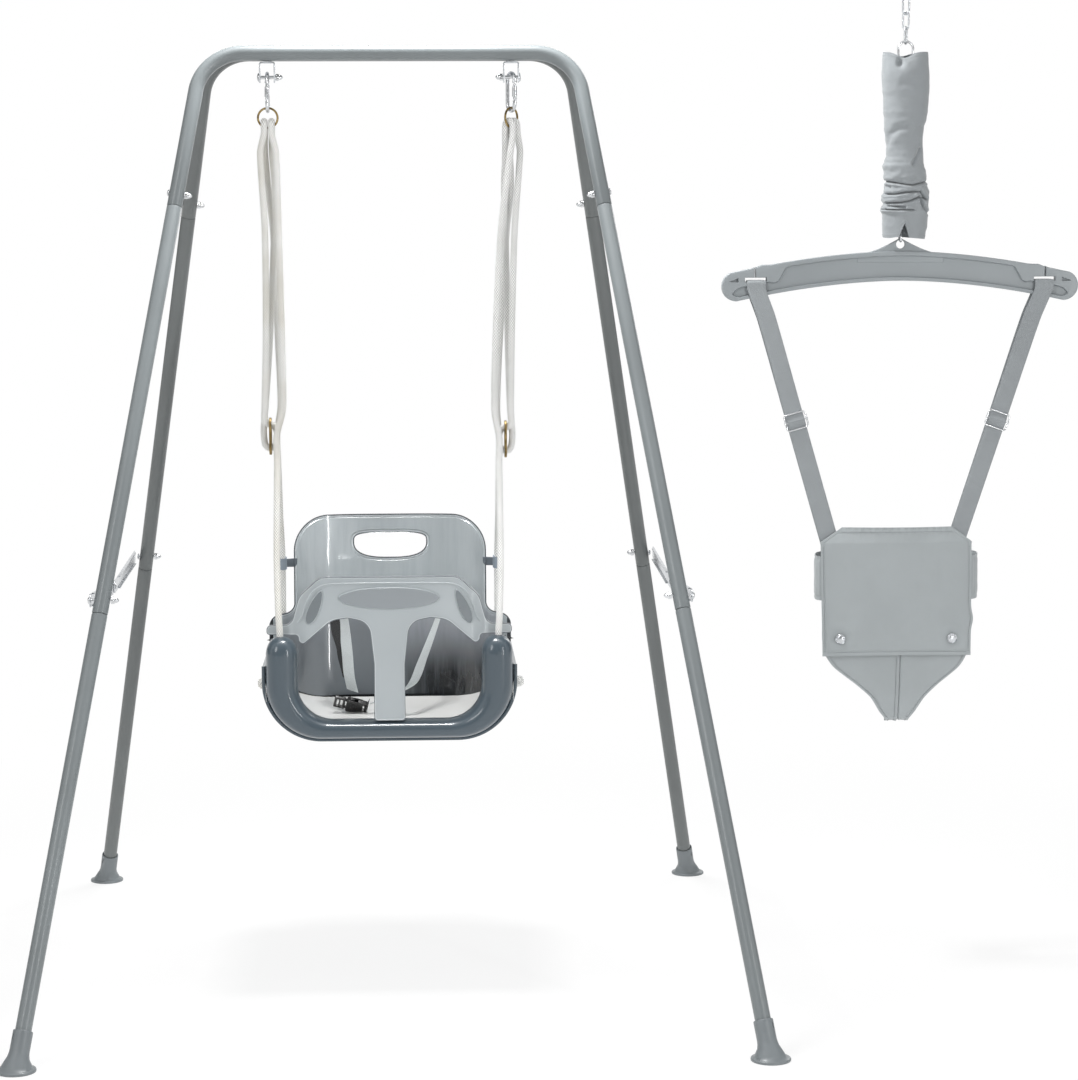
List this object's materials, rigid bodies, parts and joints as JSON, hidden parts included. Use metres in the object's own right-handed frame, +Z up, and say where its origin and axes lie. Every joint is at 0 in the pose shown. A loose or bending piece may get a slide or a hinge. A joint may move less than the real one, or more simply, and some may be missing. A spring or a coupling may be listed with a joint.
{
  "type": "toddler swing set",
  "caption": "Folding A-frame toddler swing with a bucket seat on ropes, and a baby jumper on a covered spring beside it.",
  "frame": {"origin": "centre of the bounding box on the floor", "axes": "+Z up, +X along the top bar to the right, -Y to the front, where the child faces"},
  "size_m": [1.4845, 1.131, 1.3782],
  "materials": {
    "steel": "satin powder coat",
    "chrome": "polished",
    "brass": "aged",
    "foot_plastic": "matte",
    "rope": "braided",
    "slate": "gloss",
    "mid_grey": "gloss",
    "light_grey": "satin gloss",
    "webbing": "woven",
    "black": "matte",
    "cloth": "woven"
  },
  "bodies": {
    "front_frame": {"front_upper_tube": "steel", "front_middle_tube_left": "steel", "front_middle_tube_right": "steel", "front_lower_tube_left": "steel", "front_lower_tube_right": "steel", "front_foot_left": "foot_plastic", "front_foot_right": "foot_plastic", "front_upper_bolt_left": "chrome", "front_upper_bolt_right": "chrome", "front_lower_bolt_left": "chrome", "front_lower_bolt_right": "chrome", "hanger_bracket_left": "chrome", "hanger_bracket_right": "chrome", "hanger_bolt_left": "chrome", "hanger_bolt_right": "chrome", "chain_link_3": "chrome"},
    "rear_frame": {"rear_upper_tube": "steel", "rear_middle_tube_left": "steel", "rear_middle_tube_right": "steel", "rear_lower_tube_left": "steel", "rear_lower_tube_right": "steel", "rear_foot_left": "foot_plastic", "rear_foot_right": "foot_plastic", "rear_upper_bolt_left": "chrome", "rear_upper_bolt_right": "chrome", "rear_lower_bolt_left": "chrome", "rear_lower_bolt_right": "chrome"},
    "swing": {"carabiner_left": "chrome", "carabiner_right": "chrome", "swing_ring_left": "brass", "swing_ring_right": "brass", "swing_rope_left": "rope", "swing_rope_right": "rope", "rope_adjuster_left": "brass", "rope_adjuster_right": "brass", "lap_belt_left": "webbing", "lap_belt_right": "webbing", "seat_tray": "slate", "backrest": "mid_grey", "belt_buckle": "black"},
    "guard": {"t_guard": "light_grey"},
    "stay_front_left": {"stay_front_link_left": "chrome"},
    "stay_rear_left": {"stay_rear_link_left": "chrome"},
    "stay_front_right": {"stay_front_link_right": "chrome"},
    "stay_rear_right": {"stay_rear_link_right": "chrome"},
    "gate_left": {"carabiner_gate_left": "chrome"},
    "gate_right": {"carabiner_gate_right": "chrome"},
    "jumper_link": {"chain_link_2": "chrome"},
    "jumper_top": {"chain_link_1": "chrome", "jumper_spring": "chrome", "spring_sleeve": "cloth"},
    "jumper_seat": {"spreader_bar": "mid_grey", "jumper_strap_left": "webbing", "jumper_strap_right": "webbing", "strap_slider_left": "chrome", "strap_slider_right": "chrome", "saddle_snap_left": "chrome", "saddle_snap_right": "chrome", "saddle_seat": "cloth", "saddle_front_flap": "cloth"}
  },
  "joints": [
    {"name": "rear_frame_fold", "type": "hinge", "parent": "front_frame", "child": "rear_frame", "pos_m": [-0.2365, 0.0108, 1.3], "axis": [-1, 0, 0], "range_deg": [0, 34]},
    {"name": "stay_front_turn_left", "type": "hinge", "parent": "front_frame", "child": "stay_front_left", "pos_m": [-0.63568, -0.30794, 0.57006], "axis": [1, 0, 0], "range_deg": [-0.5, 58.66]},
    {"name": "stay_rear_turn_left", "type": "hinge", "parent": "stay_front_left", "child": "stay_rear_left", "pos_m": [-0.63568, 0.00297, 0.54877], "axis": [-1, 0, 0], "range_deg": [-0.5, 155.14]},
    {"name": "stay_front_turn_right", "type": "hinge", "parent": "front_frame", "child": "stay_front_right", "pos_m": [0.16268, -0.30794, 0.57006], "axis": [1, 0, 0], "range_deg": [-0.5, 58.66]},
    {"name": "stay_rear_turn_right", "type": "hinge", "parent": "stay_front_right", "child": "stay_rear_right", "pos_m": [0.16268, 0.00297, 0.54877], "axis": [-1, 0, 0], "range_deg": [-0.5, 155.14]},
    {"name": "swing_pitch", "type": "hinge", "parent": "front_frame", "child": "swing", "pos_m": [-0.2365, 0, 1.2667], "axis": [1, 0, 0], "range_deg": [-40, 40]},
    {"name": "guard_lift", "type": "slide", "parent": "swing", "child": "guard", "axis": [0, 0.437, 0.8995], "range_m": [0, 0.1]},
    {"name": "carabiner_gate_open_left", "type": "hinge", "parent": "swing", "child": "gate_left", "pos_m": [-0.4075, -0.01025, 1.2367], "axis": [-1, 0, 0], "range_deg": [0, 25], "stiffness_Nm_per_rad": 0.05, "springref_deg": -5.73},
    {"name": "carabiner_gate_open_right", "type": "hinge", "parent": "swing", "child": "gate_right", "pos_m": [-0.06085, -0.00913, 1.2367], "axis": [-0.891, -0.454, 0], "range_deg": [0, 25], "stiffness_Nm_per_rad": 0.05, "springref_deg": -5.73},
    {"name": "jumper_swing", "type": "hinge", "parent": "front_frame", "child": "jumper_link", "pos_m": [0.4925, 0, 1.3534], "axis": [1, 0, 0], "range_deg": [-20, 20]},
    {"name": "jumper_sway", "type": "hinge", "parent": "jumper_link", "child": "jumper_top", "pos_m": [0.4925, 0, 1.3329], "axis": [0, 1, 0], "range_deg": [-12, 12]},
    {"name": "jumper_bounce", "type": "slide", "parent": "jumper_top", "child": "jumper_seat", "axis": [0, 0, -1], "range_m": [0, 0.12], "stiffness_N_per_m": 600, "deforming": ["jumper_spring", "spring_sleeve"]}
  ],
  "couplings": [
    {"joint": "stay_front_turn_left", "follows": "rear_frame_fold", "ratio": 1.7107},
    {"joint": "stay_rear_turn_left", "follows": "rear_frame_fold", "ratio": 4.5483},
    {"joint": "stay_front_turn_right", "follows": "rear_frame_fold", "ratio": 1.7107},
    {"joint": "stay_rear_turn_right", "follows": "rear_frame_fold", "ratio": 4.5483}
  ]
}
